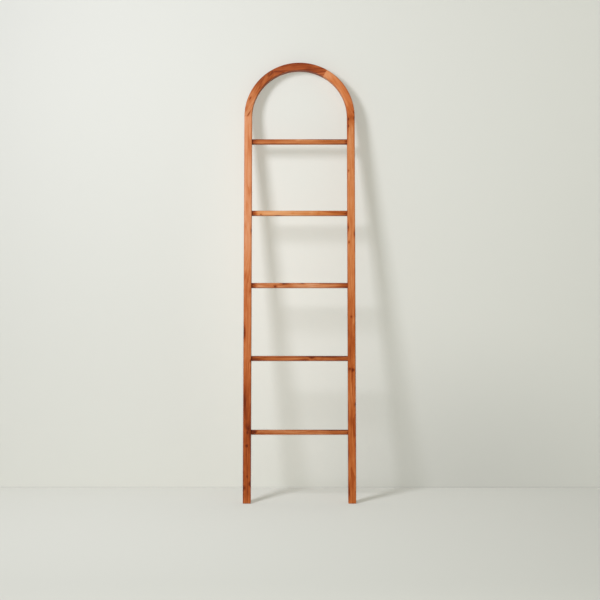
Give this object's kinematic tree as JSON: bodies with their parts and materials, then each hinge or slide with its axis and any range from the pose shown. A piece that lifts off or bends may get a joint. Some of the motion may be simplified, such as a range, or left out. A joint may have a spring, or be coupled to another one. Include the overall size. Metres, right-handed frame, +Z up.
{
  "type": "blanket ladder",
  "caption": "Leaning wooden blanket ladder: square stiles joined by a half-round arch of bent segments, with square rungs set between them.",
  "frame": {"origin": "on the floor, at the bottom centre of the leaned ladder's box: midway across, and midway between the front of the feet and the wall plane", "axes": "+Z up from the floor; +Y from the front towards the wall that the crown rests on; +X to the right as seen from the front"},
  "size_m": [0.46, 0.3354, 1.8052],
  "materials": {
    "stile_wood": "satin, warm tan to red brown",
    "crown_wood": "satin, red brown",
    "rung_wood": "satin, warm tan to red brown",
    "dowel_wood": "bare beech",
    "foot_pad_rubber": "matte",
    "wall_bumper_rubber": "clear soft silicone"
  },
  "bodies": {
    "root": {"left_stile": "stile_wood", "right_stile": "stile_wood", "arch_left_segment": "stile_wood", "arch_right_segment": "stile_wood", "arch_crown_segment": "crown_wood", "rung_1": "rung_wood", "rung_2": "rung_wood", "rung_3": "rung_wood", "rung_4": "rung_wood", "rung_5": "rung_wood", "rung_1_dowels": "dowel_wood", "rung_2_dowels": "dowel_wood", "rung_3_dowels": "dowel_wood", "rung_4_dowels": "dowel_wood", "rung_5_dowels": "dowel_wood", "left_spring_dowels": "dowel_wood", "left_crown_dowels": "dowel_wood", "right_crown_dowels": "dowel_wood", "right_spring_dowels": "dowel_wood", "left_foot_pad": "foot_pad_rubber", "right_foot_pad": "foot_pad_rubber", "left_wall_bumper": "wall_bumper_rubber", "right_wall_bumper": "wall_bumper_rubber"}
  },
  "joints": []
}
